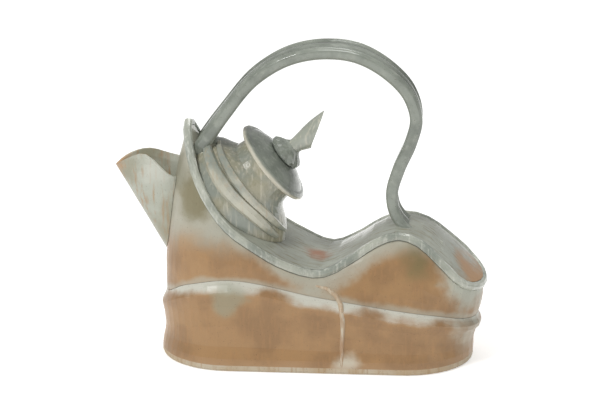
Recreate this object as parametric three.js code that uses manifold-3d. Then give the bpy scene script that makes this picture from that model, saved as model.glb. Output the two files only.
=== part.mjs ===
// A hand-built porcelain teapot: a long slab-built body on a flat floor, a saddle-shaped top slab that
// climbs to a peak at the spout end, a tilted lid on a skirted collar, and a pulled strap handle overhead.
// Millimetres, +Z up. The origin is the middle of the floor's underside. The spout points along -X.
import * as THREE from "three";
import { LoftGeometry } from "three/addons/geometries/LoftGeometry.js";
import { mergeVertices } from "three/addons/utils/BufferGeometryUtils.js";
import Module from "manifold-3d";

const wasm = await Module();
wasm.setup();

// Driving dimensions, shared by several pieces.
const SEAM = 0.3; // slip joint left open between two luted pieces
const LOOP_STEPS = 72; // stations round the body

const FLOOR_LENGTH = 236;
const FLOOR_WIDTH = 98;
const FLOOR_THICK = 5;
const FLOOR_END = 52; // length of each rounded end of the plan
const FLOOR_ROUND = 2; // softened lower edge

const WALL_THICK = 4.5;
const WAIST_INSET = 4.5; // how far the skirting slab draws in between foot and ridge
const FOOT_BAND = 5; // height of the foot band above the floor slab
const RIDGE_FLARE = 6; // how far the ridge leans out at the tail end
const WALL_BULGE = 1.5;
const NOSE_BULGE = 4; // extra swelling of the upper wall at the spout end

// The ridge where the skirting slab ends: [x, height, depth of the ledge, rise of the ledge].
const RIDGE = [
  [-118, 40, 3.5, 9],
  [-100, 54, 4, 9],
  [-62, 63.5, 4.8, 7.5],
  [0, 53, 6.5, 6],
  [50, 44.5, 9, 5.5],
  [95, 38, 7.5, 5.5],
  [118, 30, 2.4, 5.5],
];

// The top slab seen from the side, peak to tail: [x, half width, height].
const TOP_LINE = [
  [-97, 34, 180],
  [-89.5, 35, 153],
  [-77, 36.5, 128],
  [-61, 39.5, 109],
  [-42, 40.5, 96],
  [-19, 40, 82.5],
  [7, 34, 74.5],
  [30, 28, 85.5],
  [46, 25.5, 96.5],
  [63, 24.5, 102.5],
  [79, 26, 98],
  [98, 30.5, 82],
  [115, 33, 66],
  [124.5, 33, 60],
];
const TOP_THICK = 4.5;
const PEAK_ROUND = 110; // length along the slab over which the peak end narrows
const TAIL_ROUND = 24;
const TOP_SKEW = 0.08; // the far edge sits this much further along per millimetre of depth
const TOP_CROWN = 2.5;
const COIL_RADIUS = 3.3;

// The lid's axis leans from the vertical towards the tail, and its seat is the collar's lip.
const LID_LEAN = 50;
const SEAT = [-35.3, 0, 148.4];
const BORE_RADIUS = 22;
const LIP_WIDTH = 4.5;
const LID_OPENING = [4, 44, 23.5]; // hole in the top slab about the axis: [shift, half length, half width]

// The skirt below the collar's lip: [depth down the axis, shift downhill, half length, half width].
const SKIRT = [
  [0, 0, 26.5, 26.5],
  [8, 0, 26.8, 26.8],
  [12, 0.3, 28.3, 27.6],
  [16, -2, 35.5, 28.4],
  [21, 0, 43.5, 29.6],
  [29, 2, 50, 31.3],
  [39, 5.5, 53, 32.6],
  [58, 7, 54, 33.5],
];

const LID_RADIUS = 34.3;
const LID_DOME = 11.5; // height of the lid from its seat to the knob's foot
const LID_EDGE = 3.4;
const FLANGE_CLEARANCE = 1.1;
const FLANGE_DEPTH = 9;
const FLANGE_THICK = 3.2;
const KNOB_FOOT_RADIUS = 13;
const KNOB_NECK_RADIUS = 6;
const KNOB_FOOT_HEIGHT = 11;
const KNOB_PLEATS = 11;
const HORN_THICK = 2.2;

const SPOUT_FOOT = [-118.5, 88]; // where the spout's front fold leaves the wall: [x, height]
const SPOUT_TIP = [-152, 146];
const SPOUT_ROOT_X = -98;
const SPOUT_HALF_WIDTH = 17.5;
const SPOUT_THICK = 3.2;
// Height of the pouring lip from tip to wall, on the near and far side: [share of the way, height].
const NEAR_LIP = [[0, 146], [0.25, 154], [0.5, 158], [0.74, 143], [1, 139]];
const FAR_LIP = [[0, 146], [0.25, 152.5], [0.5, 155], [0.74, 151.5], [1, 150]];
const STRAINER_RADIUS = 11;
const STRAINER_HEIGHT = 113;
const STRAINER_HOLE = 1.7;
const STRAINER_PITCH = 5.4;

// The strap handle's centre line, spout end to tail: [x, height, width, thickness].
const STRAP = [
  [-95, 154, 34, 11],
  [-84.5, 169.5, 34, 11],
  [-70, 190.3, 32, 10],
  [-45.8, 219.4, 31.5, 9.5],
  [-21, 234.7, 32, 9.5],
  [4, 240, 32.5, 9.5],
  [28, 237.8, 32, 9.5],
  [52, 225, 30, 9.5],
  [68.5, 207, 28, 9.5],
  [74, 188.5, 26, 9.5],
  [70, 170, 24, 9.5],
  [61, 148, 22, 9.5],
  [56.5, 130, 22, 9],
  [59, 115, 25, 8.5],
  [67, 104.5, 30, 7.5],
  [79, 97.5, 28, 6.5],
  [92, 89, 15, 5],
];
const STRAP_RIBS = 5;
const RIB_HEIGHT = 0.9;
const STRAP_STEPS = 46;

// A smooth curve through knots [x, value, ...]: cubic pieces whose slopes come from the neighbouring knots.
function curveThrough(knots, column = 1) {
  const slope = (i) => {
    const a = knots[Math.max(i - 1, 0)];
    const b = knots[Math.min(i + 1, knots.length - 1)];
    return (b[column] - a[column]) / (b[0] - a[0]);
  };
  return (x) => {
    const last = knots.length - 2;
    let i = knots.findIndex((k, n) => n > 0 && x <= k[0]) - 1;
    if (i < 0) i = x <= knots[0][0] ? 0 : last;
    const [a, b] = [knots[i], knots[i + 1]];
    const span = b[0] - a[0];
    const t = THREE.MathUtils.clamp((x - a[0]) / span, 0, 1);
    const bend = t * t * (3 - 2 * t);
    return (
      a[column] * (1 - bend) + b[column] * bend
      + span * slope(i) * t * (1 - t) ** 2
      - span * slope(i + 1) * t * t * (1 - t)
    );
  };
}

// Solids: a closed geometry becomes a manifold for cutting, and a manifold becomes a geometry again.
function solid(geometry) {
  const bare = geometry.index ? geometry.toNonIndexed() : geometry.clone();
  for (const name of Object.keys(bare.attributes)) if (name !== "position") bare.deleteAttribute(name);
  const merged = mergeVertices(bare, 1e-3);
  const corners = merged.index.array;
  const triVerts = [];
  for (let i = 0; i < corners.length; i += 3) {
    const [a, b, c] = corners.slice(i, i + 3);
    if (a !== b && b !== c && c !== a) triVerts.push(a, b, c);
  }
  const body = new wasm.Manifold(new wasm.Mesh({
    numProp: 3,
    vertProperties: merged.attributes.position.array,
    triVerts: new Uint32Array(triVerts),
  }));
  if (body.volume() > 0) return body;
  return new wasm.Manifold(new wasm.Mesh({
    numProp: 3,
    vertProperties: merged.attributes.position.array,
    triVerts: new Uint32Array(triVerts.reverse()),
  }));
}

// A cut can leave crumbs of clay on the far side of the cutter: the piece is the largest body.
function mainBody(manifold) {
  return manifold.decompose().reduce((best, body) => (body.volume() > best.volume() ? body : best));
}

function geometryOf(manifold) {
  const mesh = mainBody(manifold).getMesh();
  const geometry = new THREE.BufferGeometry();
  geometry.setAttribute("position", new THREE.BufferAttribute(new Float32Array(mesh.vertProperties), 3));
  geometry.setIndex(new THREE.BufferAttribute(new Uint32Array(mesh.triVerts), 1));
  geometry.computeVertexNormals();
  return geometry;
}

// A shell is a ring of wall: its outer rings run one way, its inner rings run back, and it closes on itself.
function shell(outerRings, innerRings) {
  return new LoftGeometry([...outerRings, ...innerRings.slice().reverse(), outerRings[0]]);
}

// A bar has a cap at each end, a fan about the middle of its section.
function bar(sections) {
  const fan = (ring) => {
    const middle = ring.reduce((sum, p) => sum.add(p), new THREE.Vector3()).divideScalar(ring.length);
    return ring.map(() => middle);
  };
  return new LoftGeometry([fan(sections[0]), ...sections, fan(sections.at(-1))]);
}

const ellipseEnd = (distance, length) => (
  distance >= length ? 1 : Math.sqrt(Math.max(0, 1 - (1 - distance / length) ** 2))
);

// The top slab's middle line. Its y is half the slab's width there.
const topLine = new THREE.CatmullRomCurve3(TOP_LINE.map((p) => new THREE.Vector3(...p)), false, "centripetal");
topLine.arcLengthDivisions = 600;
const topLength = topLine.getLength();

// A point of the slab's middle surface: u runs from peak to tail, t from the near edge (-1) to the far one (1).
function topPoint(u, t) {
  const line = topLine.getPointAt(u);
  const narrowing = ellipseEnd(u * topLength, PEAK_ROUND) * ellipseEnd((1 - u) * topLength, TAIL_ROUND);
  const y = t * line.y * narrowing;
  return new THREE.Vector3(line.x + TOP_SKEW * y, y, line.z + TOP_CROWN * (1 - t * t) * narrowing);
}

function topNormal(u, t) {
  const step = 0.004;
  const [u0, u1] = [Math.max(u - step, 0.002), Math.min(u + step, 0.998)];
  const along = topPoint(u1, t).sub(topPoint(u0, t));
  const across = topPoint(u, Math.min(t + 0.05, 1)).sub(topPoint(u, Math.max(t - 0.05, -1)));
  return along.cross(across).normalize();
}

// Stations round the body. Turn 0 is the spout end, and the near side comes first.
function station(turn) {
  const u = (1 - Math.cos(turn)) / 2;
  const side = Math.sin(turn) >= 0 ? -1 : 1;
  const rim = topPoint(u, side);
  const share = (topLine.getPointAt(u).x - TOP_LINE[0][0]) / (TOP_LINE.at(-1)[0] - TOP_LINE[0][0]);
  const x = (share - 0.5) * FLOOR_LENGTH;
  const fromEnd = FLOOR_LENGTH / 2 - Math.abs(x);
  const foot = new THREE.Vector3(x, side * (FLOOR_WIDTH / 2) * ellipseEnd(fromEnd, FLOOR_END), 0);
  return { foot, rim };
}

// Turns spaced so that the stations are evenly spread along both the foot and the rim.
function evenTurns(count) {
  const fine = 1440;
  const walked = [0];
  let before = station(0);
  for (let i = 1; i <= fine; i += 1) {
    const here = station((i / fine) * 2 * Math.PI);
    walked.push(walked[i - 1] + here.foot.distanceTo(before.foot) + here.rim.distanceTo(before.rim));
    before = here;
  }
  return Array.from({ length: count }, (_, k) => {
    const goal = (k / count) * walked[fine];
    return (walked.findIndex((w) => w >= goal) / fine) * 2 * Math.PI;
  });
}

const stations = evenTurns(LOOP_STEPS).map(station);

// Adds each station's outward direction in plan, square to the foot's outline.
stations.forEach((s, i) => {
  const next = stations[(i + 1) % LOOP_STEPS].foot;
  const last = stations[(i + LOOP_STEPS - 1) % LOOP_STEPS].foot;
  s.out = new THREE.Vector3(next.y - last.y, last.x - next.x, 0).normalize();
});

const ridgeHeight = curveThrough(RIDGE, 1);
const ledgeDepth = curveThrough(RIDGE, 2);
const ledgeRise = curveThrough(RIDGE, 3);

// A ring of points, one a station, set in from the foot's outline at the given heights.
function footRing(inset, height) {
  return stations.map((s) => {
    const p = s.foot.clone().addScaledVector(s.out, -inset(s));
    p.z = height(s);
    return p;
  });
}

const tailward = (s) => Math.max(0, s.out.x) ** 2;
const noseward = (s) => Math.max(0, -s.out.x) ** 2;
const ridgeOf = (s) => ridgeHeight(s.foot.x);
const ridgeInset = (s) => -RIDGE_FLARE * tailward(s);
const waistInset = (s) => WAIST_INSET - 5 * tailward(s) - 2 * noseward(s);
const ledgeInset = (s) => ridgeInset(s) + ledgeDepth(s.foot.x);
const ledgeTop = (s) => ridgeOf(s) + ledgeRise(s.foot.x);

// The skirting slab's outer face as shares of the ridge's height, from the floor slab to the ledge.
function lowerOuterRings() {
  return [
    footRing(() => 0, () => FLOOR_THICK),
    footRing((s) => 0.6 - tailward(s), () => FLOOR_THICK + FOOT_BAND),
    footRing((s) => 0.75 * waistInset(s), (s) => FLOOR_THICK + FOOT_BAND + 0.14 * ridgeOf(s)),
    footRing(waistInset, (s) => 0.55 * ridgeOf(s)),
    footRing((s) => 0.6 * waistInset(s) + 0.4 * ridgeInset(s), (s) => 0.8 * ridgeOf(s)),
    footRing((s) => ridgeInset(s) + 0.5, (s) => ridgeOf(s) - 3),
    footRing(ridgeInset, ridgeOf),
    footRing((s) => ridgeInset(s) + 0.3 * ledgeDepth(s.foot.x), (s) => ridgeOf(s) + 0.25 * ledgeRise(s.foot.x)),
    footRing((s) => ridgeInset(s) + 0.75 * ledgeDepth(s.foot.x), (s) => ridgeOf(s) + 0.6 * ledgeRise(s.foot.x)),
    footRing(ledgeInset, ledgeTop),
  ];
}

function lowerInnerRings() {
  return [
    footRing(() => WALL_THICK, () => FLOOR_THICK),
    footRing((s) => waistInset(s) + WALL_THICK, (s) => 0.5 * ridgeOf(s)),
    footRing((s) => ridgeInset(s) + 1.2 * WALL_THICK, (s) => ridgeOf(s) - WALL_THICK),
    footRing((s) => ledgeInset(s) + WALL_THICK, ledgeTop),
  ];
}

// A ring of the upper wall: share 0 is the ledge, share 1 the rim. Grow moves it out, and a wall's inner face in.
function upperRing(share, grow, lift = 0) {
  return stations.map((s) => {
    const low = s.foot.clone().addScaledVector(s.out, -ledgeInset(s));
    low.z = ledgeTop(s) + lift;
    const bulge = (WALL_BULGE + NOSE_BULGE * noseward(s)) * 4 * share * (1 - share);
    return low.lerp(s.rim, share).addScaledVector(s.out, bulge + grow);
  });
}

const WALL_SHARES = [0, 0.2, 0.4, 0.6, 0.8, 1];

// Everything inside the wall's outer face, grown by a clearance: it cuts what is luted onto the wall.
function wallFill(grow) {
  return solid(bar([upperRing(0, grow), ...WALL_SHARES.slice(1).map((v) => upperRing(v, grow))]));
}

// The rolled coil that hides the joint of wall and top slab.
function rimCoil(radius) {
  const sides = 9;
  const sections = stations.map((s, i) => {
    const next = stations[(i + 1) % LOOP_STEPS].rim;
    const last = stations[(i + LOOP_STEPS - 1) % LOOP_STEPS].rim;
    const along = next.clone().sub(last).normalize();
    const across = new THREE.Vector3().crossVectors(along, new THREE.Vector3(0, 0, 1)).normalize();
    const up = new THREE.Vector3().crossVectors(across, along);
    return Array.from({ length: sides }, (_, k) => {
      const a = (k / sides) * 2 * Math.PI;
      return s.rim.clone().addScaledVector(across, radius * Math.cos(a)).addScaledVector(up, radius * Math.sin(a));
    });
  });
  return new LoftGeometry([...sections.map((r) => r.slice().reverse()), sections[0].slice().reverse()]);
}

const TOP_STEPS = 40;
const TOP_ACROSS = 7;
const INTO_THE_POT = new THREE.Vector3(-0.4, 0, -0.92); // crosses the top slab everywhere from outside to inside

// The top slab, or a block of it: the upper face is moved along up(normal), the lower along down(normal).
function topSlab(up, down) {
  const sections = [];
  for (let i = 0; i <= TOP_STEPS; i += 1) {
    const u = (1 - Math.cos((0.035 + (0.93 * i) / TOP_STEPS + 0.0175) * Math.PI)) / 2;
    const ts = Array.from({ length: TOP_ACROSS + 1 }, (_, k) => (2 * k) / TOP_ACROSS - 1);
    const upper = ts.map((t) => topPoint(u, t).add(up(topNormal(u, t))));
    const lower = ts.map((t) => topPoint(u, t).add(down(topNormal(u, t)))).reverse();
    sections.push([...upper, ...lower]);
  }
  return solid(bar(sections));
}

const alongNormal = (distance) => (normal) => normal.clone().multiplyScalar(distance);

// Blocks that cut what stands on the slab, and what ends below it.
const belowTop = topSlab(
  alongNormal(TOP_THICK / 2 + SEAM),
  (n) => n.clone().multiplyScalar(TOP_THICK / 2 + SEAM).addScaledVector(INTO_THE_POT, 60),
);
const aboveTop = topSlab(
  (n) => n.clone().multiplyScalar(TOP_THICK / 2).addScaledVector(INTO_THE_POT, -60),
  alongNormal(-TOP_THICK / 2 - SEAM),
);
const coilRoom = solid(rimCoil(COIL_RADIUS + SEAM));

// The lid's frame: +Z is its axis, out of the pot, and +X runs downhill.
const lidFrame = new THREE.Matrix4()
  .makeRotationY(THREE.MathUtils.degToRad(LID_LEAN))
  .setPosition(...SEAT);

const skirtShift = curveThrough(SKIRT, 1);
const skirtHalfLength = curveThrough(SKIRT, 2);
const skirtHalfWidth = curveThrough(SKIRT, 3);

// A point of the skirt at a depth below the lip and an angle from downhill, moved out by grow.
function skirtPoint(depth, angle, grow) {
  return new THREE.Vector3(
    skirtShift(depth) + (skirtHalfLength(depth) + grow) * Math.cos(angle),
    (skirtHalfWidth(depth) + grow) * Math.sin(angle),
    -depth,
  );
}

const ROUND_STEPS = 36;

function skirtRing(depth, grow) {
  return Array.from({ length: ROUND_STEPS }, (_, i) => (
    skirtPoint(depth, (i / ROUND_STEPS) * 2 * Math.PI, grow).applyMatrix4(lidFrame)
  ));
}

const SKIRT_DEPTHS = [58, 46, 38, 30, 24, 20, 17, 14, 11, 6, 0];

function skirtFill(grow) {
  return solid(bar(SKIRT_DEPTHS.map((d) => skirtRing(d, grow))));
}

// Pieces.

function floorSlab() {
  const inset = (amount) => footRing(() => amount, () => 0);
  const at = (ring, z) => ring.map((p) => p.clone().setZ(z));
  return bar([
    at(inset(FLOOR_ROUND), 0),
    at(inset(0.3 * FLOOR_ROUND), 0.3 * FLOOR_ROUND),
    at(inset(0), FLOOR_ROUND),
    at(inset(0), FLOOR_THICK),
  ]);
}

function upperWall() {
  const outer = WALL_SHARES.map((v) => upperRing(v, 0, SEAM));
  const inner = [0, 0.33, 0.67, 1].map((v) => upperRing(v, -WALL_THICK, SEAM));
  const strainerSeat = strainerCylinder(STRAINER_RADIUS, 30);
  return geometryOf(solid(shell(outer, inner)).subtract(coilRoom).subtract(aboveTop).subtract(strainerSeat));
}

// A cylinder through the wall behind the spout, on the strainer's axis.
function strainerCylinder(radius, length) {
  const geometry = new THREE.CylinderGeometry(radius, radius, length, 20);
  geometry.rotateZ(Math.PI / 2);
  geometry.translate(strainerX, 0, STRAINER_HEIGHT);
  return solid(geometry);
}

// Where the wall's middle lies at the spout end, at the strainer's height.
const strainerX = (() => {
  const nose = WALL_SHARES.map((v) => upperRing(v, -WALL_THICK / 2)[0]);
  return curveThrough(nose.map((p) => [p.z, p.x]))(STRAINER_HEIGHT);
})();

function strainer() {
  const radius = STRAINER_RADIUS - SEAM;
  const disc = new THREE.Shape().absarc(0, 0, radius, 0, 2 * Math.PI);
  for (let row = -1; row <= 1; row += 1) {
    for (let k = -1; k <= 1; k += 1) {
      const x = (k + (row % 2 ? 0.5 : 0)) * STRAINER_PITCH;
      const y = row * STRAINER_PITCH * Math.sin(Math.PI / 3);
      if (Math.hypot(x, y) < radius - 2 * STRAINER_HOLE) {
        disc.holes.push(new THREE.Path().absarc(x, y, STRAINER_HOLE, 0, 2 * Math.PI, true));
      }
    }
  }
  const geometry = new THREE.ExtrudeGeometry(disc, { depth: WALL_THICK, bevelEnabled: false, curveSegments: 8 });
  geometry.translate(0, 0, -WALL_THICK / 2);
  geometry.rotateY(Math.PI / 2);
  return geometry;
}

function topPiece() {
  const [shift, halfLength, halfWidth] = LID_OPENING;
  const hole = new THREE.CylinderGeometry(1, 1, 60, 32);
  hole.rotateX(Math.PI / 2);
  hole.scale(halfLength, halfWidth, 1);
  hole.translate(shift, 0, -45);
  hole.applyMatrix4(lidFrame);
  const slab = topSlab(alongNormal(TOP_THICK / 2), alongNormal(-TOP_THICK / 2));
  return geometryOf(slab.subtract(coilRoom).subtract(solid(hole)));
}

function collar() {
  const outer = SKIRT_DEPTHS.map((d) => skirtRing(d, 0));
  const innerGrow = (d) => (d <= 8 ? BORE_RADIUS - skirtHalfLength(0) : -LIP_WIDTH);
  const inner = SKIRT_DEPTHS.map((d) => skirtRing(d, innerGrow(d)));
  return geometryOf(solid(shell(outer, inner)).subtract(belowTop).subtract(coilRoom));
}

const skirtRoom = skirtFill(SEAM);

// A fold of clay wrapped round the skirt: a roll that follows it at a changing depth and thins to each end.
function skirtFold({ from, to, depths, radius, proud, steps }, grow = 0) {
  const depthAt = curveThrough(depths);
  const sides = 8;
  const sections = [];
  for (let i = 0; i <= steps; i += 1) {
    const v = i / steps;
    const endRoom = grow * (2 * v - 1); // degrees: at the skirt's radius, a degree is over half a millimetre
    const angle = THREE.MathUtils.degToRad(from + (to - from) * v + 2 * endRoom);
    const r = grow + radius * (0.3 + 0.7 * Math.sin(Math.PI * v) ** 0.7);
    const depth = depthAt(v);
    const middle = skirtPoint(depth, angle, proud);
    const out = new THREE.Vector3(Math.cos(angle), Math.sin(angle), 0.35).normalize();
    const ahead = skirtPoint(depthAt(Math.min(v + 0.02, 1)), angle + 0.02 * Math.sign(to - from), proud);
    const along = ahead.sub(middle).normalize();
    const side = new THREE.Vector3().crossVectors(along, out).normalize();
    sections.push(Array.from({ length: sides }, (_, k) => {
      const a = (k / sides) * 2 * Math.PI;
      return middle.clone()
        .addScaledVector(out, r * Math.cos(a))
        .addScaledVector(side, 1.25 * r * Math.sin(a))
        .applyMatrix4(lidFrame);
    }));
  }
  return solid(bar(sections)).subtract(skirtRoom).subtract(belowTop).subtract(coilRoom);
}

const LOWER_FOLD = {
  from: 185, to: 325, steps: 22, radius: 4.4, proud: 0.8,
  depths: [[0, 21], [0.25, 27], [0.5, 30], [0.75, 27.5], [1, 28]],
};
const UPPER_FOLD = {
  from: 190, to: 345, steps: 22, radius: 3, proud: 0.4,
  depths: [[0, 17], [0.25, 19.5], [0.5, 21.5], [0.75, 21], [1, 23]],
};
const FAR_FOLD = {
  from: 25, to: 170, steps: 22, radius: 3.6, proud: 0.6,
  depths: [[0, 26], [0.3, 26.5], [0.6, 27], [1, 22]],
};
const lowerFoldSolid = skirtFold(LOWER_FOLD);
const upperFoldSolid = skirtFold(UPPER_FOLD).subtract(skirtFold(LOWER_FOLD, 2 * SEAM));
const farFoldSolid = skirtFold(FAR_FOLD);

// The spout is a folded slab: pointed at its front fold, widening to where it meets the wall.
function spoutRing(share, thickness) {
  const rise = (SPOUT_TIP[0] - SPOUT_FOOT[0]) / (SPOUT_TIP[1] - SPOUT_FOOT[1]);
  const lips = [curveThrough(NEAR_LIP), curveThrough(FAR_LIP)];
  const start = SPOUT_FOOT[1] - 18;
  return Array.from({ length: ROUND_STEPS }, (_, i) => {
    const angle = (i / ROUND_STEPS) * 2 * Math.PI;
    const back = (1 - Math.cos(angle)) / 2;
    const lip = lips[Math.sin(angle) >= 0 ? 0 : 1](back);
    const z = start + (lip - start) * share;
    const fold = SPOUT_FOOT[0] + rise * (z - SPOUT_FOOT[1]) + thickness;
    const half = SPOUT_HALF_WIDTH - thickness;
    const fullness = 0.55 + 0.45 * back;
    return new THREE.Vector3(fold + (SPOUT_ROOT_X - fold) * back, -half * Math.sin(angle) * fullness, z);
  });
}

const SPOUT_SHARES = [0, 0.2, 0.4, 0.6, 0.8, 0.93, 1];

function spout() {
  const outer = SPOUT_SHARES.map((v) => spoutRing(v, 0));
  const inner = SPOUT_SHARES.map((v) => spoutRing(v, v === 1 ? 0.6 * SPOUT_THICK : SPOUT_THICK));
  return geometryOf(solid(shell(outer, inner)).subtract(wallFill(SEAM)).subtract(coilRoom));
}

// The strap's section, outer face up: ribs across the outside, a thick rolled near edge, a plain underside.
function strapOutline(width, thick) {
  const points = [];
  const crests = 2 * STRAP_RIBS;
  for (let k = 0; k <= crests; k += 1) {
    const across = 1 - (2 * k) / crests;
    const crown = thick * (0.5 - 0.16 * across * across);
    points.push([across * (width / 2 - 0.28 * thick), crown + (k % 2 ? -RIB_HEIGHT : 0)]);
  }
  const half = width / 2;
  points.push([-half + 0.06 * thick, 0.2 * thick], [-half, -0.05 * thick], [-half + 0.15 * thick, -0.4 * thick]);
  points.push([-0.5 * half, -0.46 * thick], [0, -0.42 * thick], [0.5 * half, -0.46 * thick]);
  points.push([half - 0.15 * thick, -0.4 * thick], [half, -0.05 * thick], [half - 0.06 * thick, 0.2 * thick]);
  return points;
}

const strapLine = new THREE.CatmullRomCurve3(STRAP.map(([x, z]) => new THREE.Vector3(x, 0, z)), false, "centripetal");
strapLine.arcLengthDivisions = 800;
const strapReach = STRAP.map((_, i) => {
  const share = i / (STRAP.length - 1);
  return strapLine.getLengths(800)[Math.round(share * 800)] / strapLine.getLength();
});
const strapWidth = curveThrough(STRAP.map((row, i) => [strapReach[i], row[2]]));
const strapThick = curveThrough(STRAP.map((row, i) => [strapReach[i], row[3]]));

function strap() {
  const sections = [];
  for (let i = 0; i <= STRAP_STEPS; i += 1) {
    const v = i / STRAP_STEPS;
    const middle = strapLine.getPointAt(v);
    const along = strapLine.getTangentAt(v);
    const outward = new THREE.Vector3(-along.z, 0, along.x);
    sections.push(strapOutline(strapWidth(v), strapThick(v)).map(([across, up]) => (
      middle.clone().addScaledVector(outward, up).add(new THREE.Vector3(0, across, 0))
    )));
  }
  return geometryOf(
    solid(bar(sections))
      .subtract(belowTop)
      .subtract(skirtRoom)
      .subtract(coilRoom)
      .subtract(skirtFold(LOWER_FOLD, SEAM))
      .subtract(skirtFold(UPPER_FOLD, SEAM))
      .subtract(skirtFold(FAR_FOLD, SEAM)),
  );
}

// The lid turns and lifts in the collar. Its pieces are drawn about the lid's axis.
function revolve(profile, steps = ROUND_STEPS) {
  const geometry = new THREE.LatheGeometry(profile.map(([r, h]) => new THREE.Vector2(r, h)), steps);
  geometry.rotateX(Math.PI / 2);
  return geometry;
}

function lidDisc() {
  const edge = LID_RADIUS;
  return revolve([
    [0, SEAM],
    [edge - 3, SEAM],
    [edge - 0.8, SEAM + 0.5],
    [edge, SEAM + 0.5 * LID_EDGE],
    [edge - 0.7, SEAM + LID_EDGE],
    [edge - 3, SEAM + LID_EDGE + 1.3],
    [edge - 5, SEAM + LID_EDGE + 1.5],
    [0.72 * edge, 0.68 * LID_DOME],
    [0.55 * edge, 0.88 * LID_DOME],
    [KNOB_FOOT_RADIUS, LID_DOME],
    [0, LID_DOME],
  ]);
}

function lidFlange() {
  const outer = BORE_RADIUS - FLANGE_CLEARANCE;
  const inner = outer - FLANGE_THICK;
  return revolve([
    [inner, 0],
    [inner, 0.6 - FLANGE_DEPTH],
    [inner + 0.8, -FLANGE_DEPTH],
    [outer - 0.8, -FLANGE_DEPTH],
    [outer, 0.8 - FLANGE_DEPTH],
    [outer, 0],
    [inner, 0],
  ]);
}

// The knob's foot is a gathered ruffle of clay under the horn.
function knobFoot() {
  const bottom = LID_DOME + SEAM;
  const profile = [[0, 0.9], [0.12, 1.03], [0.38, 1.05], [0.6, 0.88], [0.82, 0.58], [1, 0.47]];
  const steps = 4 * KNOB_PLEATS;
  return bar(profile.map(([up, swell], row) => Array.from({ length: steps }, (_, i) => {
    const angle = (i / steps) * 2 * Math.PI;
    const pleat = row === 0 ? 0 : 0.07 * (1 - up) ** 0.5 * Math.cos(KNOB_PLEATS * angle);
    const r = KNOB_FOOT_RADIUS * (swell + pleat);
    return new THREE.Vector3(r * Math.cos(angle), r * Math.sin(angle), bottom + KNOB_FOOT_HEIGHT * up);
  })));
}

// The horn grows from the neck and opens into a tall lip: [share, x, height, tilt, half length, half width].
const HORN = [
  [0, 0, 0, 0, 5.6, 5.6],
  [0.2, 0.4, 3, 8, 6.4, 6.4],
  [0.45, 1.5, 7.5, 22, 9, 7.6],
  [0.7, 3.2, 12.5, 40, 13, 8.6],
  [0.88, 5, 16.5, 52, 17, 9],
  [1, 6.4, 19.5, 60, 20.5, 9.2],
];

function hornRing(row, thickness) {
  const [, x, z, tilt, halfLength, halfWidth] = row;
  const lean = THREE.MathUtils.degToRad(tilt);
  const foot = LID_DOME + KNOB_FOOT_HEIGHT + 2 * SEAM;
  return Array.from({ length: 20 }, (_, i) => {
    const angle = (i / 20) * 2 * Math.PI;
    const reach = (halfLength - thickness) * Math.cos(angle);
    return new THREE.Vector3(
      x + reach * Math.cos(lean),
      (halfWidth - thickness) * Math.sin(angle),
      foot + z - reach * Math.sin(lean),
    );
  });
}

function knobHorn() {
  const inner = HORN.slice(2).map((row, i, all) => hornRing(row, i === all.length - 1 ? 1.4 : HORN_THICK));
  return bar([...HORN.map((row) => hornRing(row, 0)), ...inner.reverse()]);
}

// Colours seen in the photograph, and how each glaze shines.
const GLAZES = {
  flashed: { color: 0xb98a5f, roughness: 0.5 },
  celadon: { color: 0xb9bcae, roughness: 0.28 },
  slate: { color: 0x8d938b, roughness: 0.32 },
  bare: { color: 0xd9cdb8, roughness: 0.7 },
};

function piece(name, geometry, glaze) {
  const mesh = new THREE.Mesh(geometry, new THREE.MeshStandardMaterial({ metalness: 0, ...GLAZES[glaze] }));
  mesh.name = name;
  return mesh;
}

const teapot = new THREE.Group();
teapot.add(
  piece("floor_slab", floorSlab(), "bare"),
  piece("skirting_slab", shell(lowerOuterRings(), lowerInnerRings()), "flashed"),
  piece("upper_wall", upperWall(), "flashed"),
  piece("top_slab", topPiece(), "celadon"),
  piece("rim_coil", rimCoil(COIL_RADIUS), "celadon"),
  piece("lid_collar", collar(), "slate"),
  piece("collar_fold_lower", geometryOf(lowerFoldSolid), "celadon"),
  piece("collar_fold_upper", geometryOf(upperFoldSolid), "celadon"),
  piece("collar_fold_far", geometryOf(farFoldSolid), "celadon"),
  piece("spout", spout(), "celadon"),
  piece("strap_handle", strap(), "slate"),
);

const strainerPiece = piece("spout_strainer", strainer(), "bare");
strainerPiece.position.set(strainerX, 0, STRAINER_HEIGHT);
teapot.add(strainerPiece);

const lid = new THREE.Group();
lid.applyMatrix4(lidFrame);
lid.add(
  piece("lid_disc", lidDisc(), "slate"),
  piece("lid_flange", lidFlange(), "bare"),
  piece("knob_foot", knobFoot(), "slate"),
  piece("knob_horn", knobHorn(), "slate"),
);
teapot.add(lid);

export default teapot;
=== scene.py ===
# %% [markdown]
# # A hand-built porcelain teapot
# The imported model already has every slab, coil and fold of the pot at its real size. This lesson loads it,
# sets up the camera, glazes each piece with its own finish, and adds four pieces worked out in numpy: the
# seam roll, the ribbed strap, the knob's horn and a small lug. The floor and the lamps come last.

# %% Load the frame
import math

import bmesh
import bpy
import numpy as np
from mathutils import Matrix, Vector
from mathutils.bvhtree import BVHTree


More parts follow.
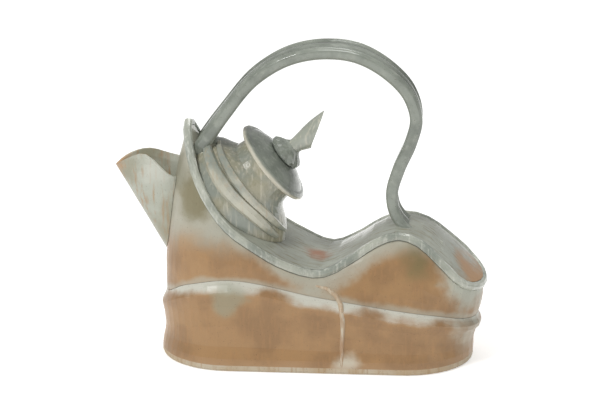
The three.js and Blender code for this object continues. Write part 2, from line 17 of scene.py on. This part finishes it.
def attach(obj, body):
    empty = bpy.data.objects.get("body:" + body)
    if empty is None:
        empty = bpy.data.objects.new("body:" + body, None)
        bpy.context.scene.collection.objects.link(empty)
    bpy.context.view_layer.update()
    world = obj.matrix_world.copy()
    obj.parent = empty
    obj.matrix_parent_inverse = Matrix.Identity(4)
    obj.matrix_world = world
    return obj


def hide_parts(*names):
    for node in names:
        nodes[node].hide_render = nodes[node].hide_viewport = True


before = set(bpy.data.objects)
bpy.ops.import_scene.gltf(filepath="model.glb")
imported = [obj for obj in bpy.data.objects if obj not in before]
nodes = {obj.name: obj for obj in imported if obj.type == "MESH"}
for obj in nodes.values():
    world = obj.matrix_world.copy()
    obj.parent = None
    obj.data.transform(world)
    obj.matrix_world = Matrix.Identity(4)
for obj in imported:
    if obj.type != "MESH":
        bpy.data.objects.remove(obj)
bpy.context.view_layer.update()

MM = 0.001
print("pieces in the frame:", len(nodes))

# %% [markdown]
# ## Camera
# The photo is a product shot with a long lens, a little above the pot and almost square to its side.
# A 200 mm lens at 2.5 m covers 450 mm across the picture, so the perspective stays weak.

# %% Camera
AZIMUTH = math.radians(4)
ELEVATION = math.radians(19)
DISTANCE = 2.5
FRAME_WIDTH = 0.45
SENSOR = 36
TARGET = Vector((-0.0135, 0, 0.1206))

back = Vector((
    math.sin(AZIMUTH) * math.cos(ELEVATION),
    -math.cos(AZIMUTH) * math.cos(ELEVATION),
    math.sin(ELEVATION),
))
lens = bpy.data.cameras.new("camera")
lens.sensor_width = SENSOR
lens.lens = SENSOR * DISTANCE / FRAME_WIDTH
lens.clip_end = 50
camera = bpy.data.objects.new("camera", lens)
camera.location = TARGET + DISTANCE * back
camera.rotation_euler = back.to_track_quat("Z", "Y").to_euler()
bpy.context.scene.collection.objects.link(camera)
bpy.context.scene.camera = camera
print("lens in mm:", round(lens.lens))

# %% [markdown]
# ## Materials from nodes
# One function adds any node with its settings and links, and one turns the sRGB hex colours to linear.


# %% Node and colour helpers
def linear(hex_colour):
    """c/12.92 below 0.04045, else ((c + 0.055)/1.055)^2.4, for each channel."""
    channels = [int(hex_colour[i:i + 2], 16) / 255 for i in (1, 3, 5)]
    return [c / 12.92 if c <= 0.04045 else ((c + 0.055) / 1.055) ** 2.4 for c in channels] + [1]


def add(tree, kind, inputs=None, **settings):
    """Adds a node. A socket among the inputs is linked, and any other value is set."""
    node = tree.nodes.new(kind)
    for key, value in settings.items():
        setattr(node, key, value)
    for key, value in (inputs or {}).items():
        if isinstance(value, bpy.types.NodeSocket):
            tree.links.new(value, node.inputs[key])
        else:
            node.inputs[key].default_value = value
    return node


def ease(tree, value, start, end):
    """0 at start, 1 at end, smooth between them."""
    inputs = {"Value": value, "From Min": start, "From Max": end}
    return add(tree, "ShaderNodeMapRange", inputs, interpolation_type="SMOOTHSTEP").outputs[0]


def times(tree, a, b):
    """The product a * b as a socket."""
    return add(tree, "ShaderNodeMath", {0: a, 1: b}, operation="MULTIPLY").outputs[0]


def paint(tree, under, over, mask):
    """The colour under, covered by the colour over where the mask is 1."""
    mix = add(tree, "ShaderNodeMix", data_type="RGBA")
    tree.links.new(mask, mix.inputs[0])
    for socket, colour in ((mix.inputs[6], under), (mix.inputs[7], over)):
        if isinstance(colour, str):
            socket.default_value = linear(colour)
        else:
            tree.links.new(colour, socket)
    return mix.outputs[2]


# %% [markdown]
# ## Where the glaze changes
# Wood ash and flame colour a pot by place: pale on edges, rust in pools, olive on shoulders. Each mark below
# turns a place on the pot into a mask, and a little noise frays its border. The lid's cream band is a painted
# highlight.


# %% Marks
FRAY = 2.2  # how many radii the noise, about 0.5 on average, moves a border
EVEN = FRAY / 2  # what average noise adds


def patch(centre, radius):
    """1 within 0.3 radius of a point, 0 beyond 1.1 radius, where the noise is average."""
    def mask(tree, place, fray):
        inputs = {0: place, 1: centre}
        gap = add(tree, "ShaderNodeVectorMath", inputs, operation="DISTANCE").outputs["Value"]
        inputs = {0: fray, 1: FRAY * radius, 2: gap}
        frayed = add(tree, "ShaderNodeMath", inputs, operation="MULTIPLY_ADD").outputs[0]
        return ease(tree, frayed, (EVEN + 1.1) * radius, (EVEN + 0.3) * radius)
    return mask


def band(axis, start, end):
    """Eases from 0 to 1 as the distance along axis, plus noise of that span, goes from start to end."""
    def mask(tree, place, fray):
        inputs = {0: place, 1: axis}
        reach = add(tree, "ShaderNodeVectorMath", inputs, operation="DOT_PRODUCT").outputs["Value"]
        inputs = {0: fray, 1: abs(end - start), 2: reach}
        frayed = add(tree, "ShaderNodeMath", inputs, operation="MULTIPLY_ADD")
        return ease(tree, frayed.outputs[0], start, end)
    return mask


def along(knots, half_width):
    """1 on the height line through knots (x, z), 0 at half_width from it, where the noise is average."""
    lows = [min(k[i] for k in knots) for i in (0, 1)]
    spans = [max(k[i] for k in knots) - lows[i] for i in (0, 1)]

    def mask(tree, place, fray):
        split = add(tree, "ShaderNodeSeparateXYZ", {0: place})
        share = add(tree, "ShaderNodeMapRange", {
            "Value": split.outputs[0], "From Min": lows[0], "From Max": lows[0] + spans[0],
        })
        line = add(tree, "ShaderNodeFloatCurve", {"Value": share.outputs[0]})
        curve = line.mapping.curves[0]
        shares = [((x - lows[0]) / spans[0], (z - lows[1]) / spans[1]) for x, z in knots]
        curve.points[0].location, curve.points[-1].location = shares[0], shares[-1]
        for point in shares[1:-1]:
            curve.points.new(*point)
        line.mapping.update()
        height = add(tree, "ShaderNodeMapRange", {
            "Value": line.outputs[0], "To Min": lows[1], "To Max": lows[1] + spans[1],
        })
        inputs = {0: split.outputs[2], 1: height.outputs[0]}
        gap = add(tree, "ShaderNodeMath", inputs, operation="SUBTRACT")
        size = add(tree, "ShaderNodeMath", {0: gap.outputs[0]}, operation="ABSOLUTE").outputs[0]
        inputs = {0: fray, 1: FRAY * half_width, 2: size}
        frayed = add(tree, "ShaderNodeMath", inputs, operation="MULTIPLY_ADD")
        return ease(tree, frayed.outputs[0], (EVEN + 1) * half_width, (EVEN + 0.1) * half_width)
    return mask


# %% [markdown]
# ## The glazes
# Wood-fired porcelain has soft clouds about 25 mm wide, streaks where the glaze ran about 2 mm wide, and
# specks of iron under 1 mm. The specks are drawn a little coarse so that they show in the picture.

# %% Glaze
CLOUD_SIZE = 25 * MM
STREAK_WIDTH = 2.2 * MM
SPECK_SIZE = 0.9 * MM
RIPPLE_SIZE = 5 * MM
IRON_SPECK = "#5b4636"
GLAZE_IOR = 1.5
GLOSSY = 0.3  # a glaze smoother than this has a full glassy coat
GLOSSY_COAT, SATIN_COAT, COAT_ROUGHNESS = 0.6, 0.15, 0.12
ROUGHNESS_SPREAD, LEAST_ROUGHNESS = 0.12, 0.05
RIPPLE_STRENGTH, RIPPLE_DEPTH = 0.35, 0.6 * MM
RUNS_DOWN = (1, 1, 0.12)  # squeezing a pattern's scale along an axis draws it out along that axis


def glaze(name, ground, cloud, streak, roughness, stretch=RUNS_DOWN, specks=0.5, marks=(), runny=0.65):
    """Ground colour, then clouds, runs along the stretched axis, marks by place, and iron specks."""
    material = bpy.data.materials.new(name)
    material.use_nodes = True
    tree = material.node_tree
    shader = tree.nodes["Principled BSDF"]
    place = add(tree, "ShaderNodeTexCoord").outputs["Object"]
    runs = add(tree, "ShaderNodeMapping", {"Vector": place, "Scale": stretch}).outputs[0]

    def noise(vector, size, detail):
        inputs = {"Vector": vector, "Scale": 1 / size, "Detail": detail}
        return add(tree, "ShaderNodeTexNoise", inputs).outputs[0]

    clouds = noise(place, CLOUD_SIZE, 4)
    streaks = noise(runs, STREAK_WIDTH, 5)
    colour = paint(tree, ground, cloud, ease(tree, clouds, 0.38, 0.66))
    colour = paint(tree, colour, streak, times(tree, ease(tree, streaks, 0.48, 0.72), runny))
    for mark, over, strength in marks:
        colour = paint(tree, colour, over, times(tree, mark(tree, place, clouds), strength))
    dots = ease(tree, noise(place, SPECK_SIZE, 2), 0.66, 0.74)
    colour = paint(tree, colour, IRON_SPECK, times(tree, dots, specks))
    tree.links.new(colour, shader.inputs["Base Color"])
    satin = add(tree, "ShaderNodeMapRange", {
        "Value": clouds,
        "To Min": max(roughness - ROUGHNESS_SPREAD, LEAST_ROUGHNESS),
        "To Max": roughness + ROUGHNESS_SPREAD,
    })
    tree.links.new(satin.outputs[0], shader.inputs["Roughness"])
    shader.inputs["IOR"].default_value = GLAZE_IOR
    shader.inputs["Coat Weight"].default_value = GLOSSY_COAT if roughness < GLOSSY else SATIN_COAT
    shader.inputs["Coat Roughness"].default_value = COAT_ROUGHNESS
    bump = add(tree, "ShaderNodeBump", {
        "Height": noise(place, RIPPLE_SIZE, 6), "Strength": RIPPLE_STRENGTH, "Distance": RIPPLE_DEPTH,
    })
    tree.links.new(bump.outputs[0], shader.inputs["Normal"])
    return material


# %% [markdown]
# ## The ridge and the lid's axis
# The pale ash line follows the ridge where the skirting slab ends, and the wall is pale again under the rim.
# Both lines are the part's own knots (x, z), in metres. The lid's colours change along its tilted axis,
# measured from its seat: an orange edge low on its lip, and above it a cream band that is a painted highlight.

# %% Places on the pot
RIDGE = [
    (-0.118, 0.040), (-0.1, 0.054), (-0.062, 0.0635), (0, 0.053), (0.05, 0.0445), (0.095, 0.038),
    (0.124, 0.030),
]
LEDGE_RISE = 0.006
LEDGE = [(x, z + LEDGE_RISE) for x, z in RIDGE]
RIM = [
    (-0.097, 0.18), (-0.089, 0.153), (-0.077, 0.128), (-0.06, 0.109), (-0.042, 0.096), (-0.019, 0.0825),
    (0.007, 0.0745), (0.03, 0.0855), (0.046, 0.0965), (0.063, 0.1025), (0.079, 0.098), (0.098, 0.082),
    (0.125, 0.06),
]
LID_SLOPE = math.radians(40)
LID_AXIS = Vector((math.cos(LID_SLOPE), 0, math.sin(LID_SLOPE)))
SEAT_POINT = np.array([-35.3, 0, 148.4]) * MM
LID_SEAT = LID_AXIS.dot(Vector(SEAT_POINT))
UP = (0, 0, 1)

FLASH, FLASH_DARK, FLASH_BRIGHT = "#b68f63", "#a37f58", "#c09262"
ASH, ASH_GREY, OLIVE, RUST, CREAM = "#dedfd3", "#c3c6b8", "#80764f", "#a8683f", "#e6e0cd"
SLATE, SLATE_DARK, SLATE_PALE = "#9aa095", "#7d8379", "#b9bdb0"

# Each mark is a mask, the colour laid on there, and its strength.
skirting_marks = [
    (along(LEDGE, 8 * MM), ASH, 0.9),
    (patch((-0.065, -0.05, 0.057), 15 * MM), "#a3a68f", 0.6),
    (patch((0.024, -0.05, 0.008), 13 * MM), CREAM, 0.8),
    (patch((0.112, -0.02, 0.03), 22 * MM), ASH_GREY, 0.55),
    (band(UP, 14 * MM, 6 * MM), "#bd9b7a", 0.6),
]
wall_marks = [
    (along(RIM, 19 * MM), ASH_GREY, 0.75),
    (band(UP, 100 * MM, 128 * MM), ASH_GREY, 0.8),
    (patch((-0.088, -0.03, 0.128), 20 * MM), OLIVE, 0.75),
    (patch((-0.105, -0.01, 0.15), 17 * MM), "#8b8a74", 0.6),
    (patch((0.078, -0.03, 0.086), 19 * MM), OLIVE, 0.75),
    (patch((0.112, -0.02, 0.058), 24 * MM), ASH_GREY, 0.85),
    (along(LEDGE, 6 * MM), ASH_GREY, 0.5),
]
top_marks = [
    (patch((0.118, 0, 0.062), 30 * MM), FLASH_BRIGHT, 0.9),
    (patch((0.0, -0.005, 0.077), 14 * MM), RUST, 0.8),
    (patch((-0.09, 0, 0.16), 30 * MM), CREAM, 0.7),
]
lid_flash_and_painted_highlight_marks = [
    # The cream band is a painted highlight on the lid's lip; the orange band under it is the glaze's flash
    # colour.
    (band(LID_AXIS, LID_SEAT + 6 * MM, LID_SEAT + 3.5 * MM), CREAM, 0.85),
    (band(LID_AXIS, LID_SEAT + 1.6 * MM, LID_SEAT + 0.4 * MM), FLASH_BRIGHT, 0.9),
]
spout_marks = [
    (patch((-0.15, 0, 0.148), 14 * MM), FLASH_BRIGHT, 0.7),
    (patch((-0.12, 0, 0.152), 18 * MM), ASH, 0.8),
]

RUNS_ALONG_TOP = (0.12, 1, 0.3)
RUNS_ALONG_STRAP = (0.3, 1, 0.3)
finishes = {
    "floor_slab": glaze("bare_porcelain_foot", "#d8cbb4", "#cdb797", "#bf9f78", 0.7),
    "skirting_slab": glaze(
        "flashed_skirting_glaze", FLASH, FLASH_DARK, FLASH_BRIGHT, 0.4, marks=skirting_marks, runny=0.3,
    ),
    "upper_wall": glaze(
        "flashed_wall_glaze", FLASH, FLASH_DARK, FLASH_BRIGHT, 0.4, marks=wall_marks, runny=0.3,
    ),
    "top_slab": glaze(
        "streaked_ash_glaze", "#a9ab9d", SLATE_PALE, "#8d8468", 0.22, RUNS_ALONG_TOP, marks=top_marks,
    ),
    "rim_coil": glaze("pale_ash_coil_glaze", ASH_GREY, SLATE, ASH, 0.2, specks=0.4),
    "lid_collar": glaze("grey_green_collar_glaze", SLATE, "#a9a58c", CREAM, 0.24, runny=0.45),
    "collar_fold_lower": glaze(
        "cream_fold_glaze", "#cfcdbb", SLATE, "#c2a780", 0.22, specks=0.4, runny=0.35,
    ),
    "spout": glaze("ash_spout_glaze", ASH_GREY, "#a9a690", FLASH, 0.3, marks=spout_marks),
    "strap_handle": glaze(
        "grey_green_strap_glaze", SLATE, SLATE_DARK, SLATE_PALE, 0.22, RUNS_ALONG_STRAP, 0.8, runny=0.4,
    ),
    "lid_disc": glaze(
        "grey_green_lid_glaze_and_painted_highlight", SLATE, SLATE_DARK, SLATE_PALE, 0.22, marks=lid_flash_and_painted_highlight_marks, runny=0.3,
    ),
    "knob_horn": glaze("pale_horn_glaze", SLATE_PALE, SLATE, CREAM, 0.25, specks=0.3),
}
finishes.update(
    collar_fold_upper=finishes["collar_fold_lower"],
    collar_fold_far=finishes["collar_fold_lower"],
    spout_strainer=finishes["floor_slab"],
    lid_flange=finishes["floor_slab"],
    knob_foot=finishes["lid_disc"],
)
for name, finish in finishes.items():
    nodes[name].data.materials.clear()
    nodes[name].data.materials.append(finish)
print("glazed pieces:", len(finishes))

# %% [markdown]
# ## The seam on the near wall
# The slab's two ends meet on the near side and were sealed with a thin roll of clay. It is a round section
# carried along a path that is laid on the wall by casting a ray at it from the front.


# %% Surfaces on a grid
POLE_GAP = 1e-7


def grid_mesh(name, points):
    """A closed skin from points[row, column]: columns wrap round, and the first and last row are poles.

    The points of a pole lie on one spot, so they are merged into one.
    """
    rows, columns = points.shape[:2]
    index = np.arange(rows * columns).reshape(rows, columns)
    after = np.roll(index, -1, axis=1)
    quads = np.stack([index[:-1], after[:-1], after[1:], index[1:]], axis=-1).reshape(-1, 4)
    mesh = bpy.data.meshes.new(name)
    mesh.from_pydata(points.reshape(-1, 3).tolist(), [], quads.tolist())
    skin = bmesh.new()
    skin.from_mesh(mesh)
    bmesh.ops.remove_doubles(skin, verts=skin.verts, dist=POLE_GAP)
    skin.to_mesh(mesh)
    skin.free()
    mesh.shade_smooth()
    piece = bpy.data.objects.new(name, mesh)
    bpy.context.scene.collection.objects.link(piece)
    return piece


# Path on the wall, in mm: x and height.
SEAM_PATH = [(0, 67), (9, 65), (16, 60), (20, 53), (21.5, 44), (21.5, 34), (21, 22), (21, 12), (21, 5)]
SEAM_RADIUS = 1.9 * MM
SEAM_SINK = 0.6 * MM
SEAM_STATIONS, SEAM_SIDES = 60, 14
SEAM_TAPER = 0.3
SMOOTHED = 5  # stations averaged, so that the roll eases over the ledge
IN_FRONT = -0.2

scene_state = bpy.context.evaluated_depsgraph_get()
walls = [BVHTree.FromObject(nodes[name], scene_state) for name in ("skirting_slab", "upper_wall")]
knots = np.array(SEAM_PATH) * MM
steps = np.linspace(0, len(knots) - 1, SEAM_STATIONS)
route = np.stack([np.interp(steps, range(len(knots)), knots[:, i]) for i in (0, 1)], axis=1)
hits = [[wall.ray_cast(Vector((x, IN_FRONT, z)), Vector((0, 1, 0)))[0] for wall in walls] for x, z in route]
depth = np.array([min(hit.y for hit in pair if hit) for pair in hits]) + SEAM_SINK
end = SMOOTHED // 2
depth[end:-end] = np.convolve(depth, np.ones(SMOOTHED) / SMOOTHED, "valid")

# The roll: path(s) + r(s) (cos a * side - sin a * out), with r(s) thinning to 0 at both ends.
path = np.stack([route[:, 0], depth, route[:, 1]], axis=1)
tangent = np.gradient(path, axis=0)
tangent /= np.linalg.norm(tangent, axis=1, keepdims=True)
side = np.cross(tangent, [0, -1, 0])
side /= np.linalg.norm(side, axis=1, keepdims=True)
out = np.cross(side, tangent)
taper = np.abs(np.sin(np.pi * np.linspace(0, 1, len(path)))) ** SEAM_TAPER
taper[[0, -1]] = 0
angle = -np.linspace(0, 2 * np.pi, SEAM_SIDES, endpoint=False)
section = np.cos(angle)[None, :, None] * side[:, None] + np.sin(angle)[None, :, None] * out[:, None]
seam = grid_mesh("front_seam_roll", path[:, None] + SEAM_RADIUS * taper[:, None, None] * section)
seam.data.materials.append(glaze("pale_seam_glaze", "#cbb497", "#b99673", CREAM, 0.35))
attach(seam, "pot")
print("seam roll points:", len(path))

# %% [markdown]
# ## The pulled strap
# The handle is a strap of clay pulled by hand, which leaves long ribs on its outer face and a thick rolled
# edge on the near side. It is one section carried along the strap's middle line, finer than the frame's solid.

# %% Ribbed strap
# Middle line, spout end to tail, in mm: x, height, width, thickness.
STRAP = np.array([
    [-92, 158, 26, 11], [-84.5, 169.5, 33, 11], [-70, 190.3, 32, 10], [-45.8, 219.4, 31.5, 9.5],
    [-21, 234.7, 32, 9.5], [4, 240, 32.5, 9.5], [28, 237.8, 32, 9.5], [52, 225, 30, 9.5],
    [68.5, 207, 28, 9.5], [74, 188.5, 26, 9.5], [70, 170, 24, 9.5], [61, 148, 22, 9.5],
    [56.5, 130, 22, 9], [59, 115, 25, 8.5], [67, 104.5, 30, 7.5], [79, 97.5, 28, 6.5], [92, 89, 15, 5],
]) * MM
RIBS = 5
RIB_DEPTH = 0.9 * MM
BOX_POWER = 0.55
EDGE_PLACE, EDGE_WIDTH = -0.82, 0.16  # the fat near edge, in half widths from the middle
EDGE_DROP = 0.3
FACE_HOLLOW = 0.28
STRAP_STATIONS, STRAP_SIDES = 220, 96


def smooth_rows(rows, count):
    """Cubic pieces through the rows, spaced by chord length: slopes are central differences."""
    chord = np.concatenate([[0], np.cumsum(np.hypot(*np.diff(rows[:, :2], axis=0).T))])
    at = np.linspace(0, chord[-1], count)
    i = np.clip(np.searchsorted(chord, at) - 1, 0, len(rows) - 2)
    span = (chord[i + 1] - chord[i])[:, None]
    u = (at - chord[i])[:, None] / span
    slope = np.gradient(rows, chord, axis=0)
    blend = u * u * (3 - 2 * u)
    lean = span * (slope[i] * u * (1 - u) ** 2 - slope[i + 1] * u * u * (1 - u))
    return rows[i] * (1 - blend) + rows[i + 1] * blend + lean


strap_rows = smooth_rows(STRAP, STRAP_STATIONS)
middle = np.stack([strap_rows[:, 0], 0 * strap_rows[:, 0], strap_rows[:, 1]], axis=1)
ahead = np.gradient(middle, axis=0)
ahead /= np.linalg.norm(ahead, axis=1, keepdims=True)
outward = np.stack([-ahead[:, 2], ahead[:, 1], ahead[:, 0]], axis=1)
half_width, half_thick = strap_rows[:, 2:3] / 2, strap_rows[:, 3:4] / 2

# Section: a rounded box (sign(c)|c|^p, sign(s)|s|^p), with cosine ribs outside and a fat near edge.
turns = np.linspace(0, 2 * np.pi, STRAP_SIDES, endpoint=False)[None, :]
across = np.sign(np.cos(turns)) * np.abs(np.cos(turns)) ** BOX_POWER
up = np.sign(np.sin(turns)) * np.abs(np.sin(turns)) ** BOX_POWER
outer_face = np.clip(np.sin(turns), 0, 1) ** 0.5
ribs = RIB_DEPTH * outer_face * (np.cos(2 * np.pi * RIBS * across) - 1)
near_edge = np.exp(-((across - EDGE_PLACE) / EDGE_WIDTH) ** 2)
hollow = 1 - FACE_HOLLOW * outer_face * (1 - near_edge) * np.clip(1 - across ** 2, 0, 1) ** 0.3
heights = half_thick * up * hollow + ribs * (1 - near_edge)
heights = heights - EDGE_DROP * half_thick * near_edge * (up < 0)
strap_points = middle[:, None] + heights[..., None] * outward[:, None]
strap_points[..., 1] += half_width * across
poles = [np.repeat(strap_points[i].mean(axis=0)[None, None], turns.size, axis=1) for i in (0, -1)]
strap = grid_mesh("ribbed_strap", np.concatenate([poles[0], strap_points, poles[1]]))
strap.data.materials.append(finishes["strap_handle"])
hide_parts("strap_handle")
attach(strap, "pot")
strap_length = np.linalg.norm(np.diff(middle, axis=0), axis=1).sum()
print("strap length in mm:", round(float(strap_length / MM)))

# %% [markdown]
# ## The knob's horn
# The horn is a thin sheet of clay rolled like a lily: a narrow neck that opens into a tall slanted mouth. It
# is a stack of ellipses about the lid's axis, each tilted further, and the wall turns over the lip and runs
# back down.

# %% Rolled horn
# About the lid's axis, in mm and degrees: shift downhill, height over the seat, tilt, half length and width.
HORN = np.array([
    [0, 22, 0, 5.6, 5.6], [0.2, 26, 6, 5.9, 5.8], [0.6, 31, 16, 7.4, 6.8], [0.6, 36.5, 32, 9.6, 8],
    [0.6, 41, 48, 12.4, 8.8], [0.6, 44.6, 60, 15.6, 9],
]) * [MM, MM, np.pi / 180, MM, MM]
HORN_WALL = 1.4 * MM
HORN_STATIONS, HORN_SIDES = 40, 48
SOLID_STATIONS = 12  # stations of the neck below the hollow
CLOSE = np.array([1, 1, 1, 0, 0])  # shrinks a station's ellipse to a point
LIFT = np.array(LID_AXIS)
DOWNHILL = np.array([LID_AXIS.z, 0, -LID_AXIS.x])

rows = np.linspace(0, len(HORN) - 1, HORN_STATIONS)
outer = np.stack([np.interp(rows, range(len(HORN)), HORN[:, i]) for i in range(5)], axis=1)
inner = outer[SOLID_STATIONS:][::-1] - [0, 0, 0, HORN_WALL, HORN_WALL]
stack = np.concatenate([outer[:1] * CLOSE, outer, inner, inner[-1:] * CLOSE])
shift, height, tilt, long_half, wide_half = (stack[:, i:i + 1] for i in range(5))
spin = np.linspace(0, 2 * np.pi, HORN_SIDES, endpoint=False)[None, :]
# point = seat + (shift + L cos a cos t) * downhill + (height - L cos a sin t) * axis + W sin a * Y
downhill_part = shift + long_half * np.cos(spin) * np.cos(tilt)
axis_part = height - long_half * np.cos(spin) * np.sin(tilt)
horn_points = SEAT_POINT + downhill_part[..., None] * DOWNHILL + axis_part[..., None] * LIFT
horn_points[..., 1] += wide_half * np.sin(spin)
horn = grid_mesh("rolled_horn", horn_points)
horn.data.materials.append(finishes["knob_horn"])
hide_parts("knob_horn")
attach(horn, "lid")

# %% [markdown]
# ## The lug under the handle
# A thumb of clay ends the strap's foot. It is an ellipsoid with a dimple: a sphere's grid, each radius its own.

# %% Lug
LUG_CENTRE = np.array([90.5, -4, 89.5]) * MM
LUG_RADII = np.array([5.5, 4.5, 3.5]) * MM
LUG_ROWS, LUG_SIDES = 15, 24
LUG_DIMPLE = 0.12
rise = np.linspace(0, np.pi, LUG_ROWS)[:, None]
turn = np.linspace(0, 2 * np.pi, LUG_SIDES, endpoint=False)[None, :]
girth = np.sin(rise)
ball = np.stack([girth * np.cos(turn), girth * np.sin(turn), -np.cos(rise) + 0 * turn], axis=-1)
dimple = 1 - LUG_DIMPLE * np.cos(2 * turn[..., None]) * np.sin(rise[..., None]) ** 2
lug = grid_mesh("handle_foot_lug", LUG_CENTRE + LUG_RADII * ball * dimple)
lug.data.materials.append(finishes["top_slab"])
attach(lug, "pot")

# %% [markdown]
# ## Floor and light
# The photo's ground is white with a soft shadow under the pot. A pale sheet and three lamps over a dim world
# give that. To the camera and in reflections the sheet glows a little, so that it comes out white. The
# diffuse light that it throws on the pot stays as it is.

# %% Floor, world and lamps
CAMERA_GLOW = 0.5
WORLD_STRENGTH = 0.33
FLOOR_SIZE = 20
floor_mesh = bpy.data.meshes.new("paper_floor")
corners = [(x * FLOOR_SIZE, y * FLOOR_SIZE, 0) for x, y in ((-1, -1), (1, -1), (1, 1), (-1, 1))]
floor_mesh.from_pydata(corners, [], [(0, 1, 2, 3)])
floor = bpy.data.objects.new("paper_floor", floor_mesh)
bpy.context.scene.collection.objects.link(floor)
paper = bpy.data.materials.new("white_paper")
paper.use_nodes = True
paper.node_tree.nodes["Principled BSDF"].inputs["Base Color"].default_value = linear("#f7f7f5")
paper.node_tree.nodes["Principled BSDF"].inputs["Roughness"].default_value = 0.9
light_path = add(paper.node_tree, "ShaderNodeLightPath")
seen = add(paper.node_tree, "ShaderNodeMath", {
    0: light_path.outputs["Is Camera Ray"], 1: light_path.outputs["Is Glossy Ray"],
}, operation="MAXIMUM").outputs[0]
glow = add(paper.node_tree, "ShaderNodeEmission", {"Strength": times(paper.node_tree, seen, CAMERA_GLOW)})
both = add(paper.node_tree, "ShaderNodeAddShader", {
    0: paper.node_tree.nodes["Principled BSDF"].outputs[0], 1: glow.outputs[0],
})
paper.node_tree.links.new(both.outputs[0], paper.node_tree.nodes["Material Output"].inputs["Surface"])
floor_mesh.materials.append(paper)

world = bpy.data.worlds.new("studio")
world.use_nodes = True
world.node_tree.nodes["Background"].inputs["Color"].default_value = (1, 1, 1, 1)
world.node_tree.nodes["Background"].inputs["Strength"].default_value = WORLD_STRENGTH
bpy.context.scene.world = world

# Place and size in metres, power in watts.
LAMPS = {
    "key": ((-0.9, -1.0, 1.5), 0.45, 16),
    "fill": ((1.4, -1.0, 0.9), 1.0, 3),
    "top": ((0.2, 0.5, 1.8), 0.8, 9),
}
for name, (spot, size, power) in LAMPS.items():
    lamp = bpy.data.lights.new(name, "AREA")
    lamp.size = size
    lamp.energy = power
    holder = bpy.data.objects.new(name, lamp)
    holder.location = spot
    holder.rotation_euler = (Vector(spot) - TARGET).to_track_quat("Z", "Y").to_euler()
    bpy.context.scene.collection.objects.link(holder)
bpy.context.scene.view_settings.view_transform = "Standard"
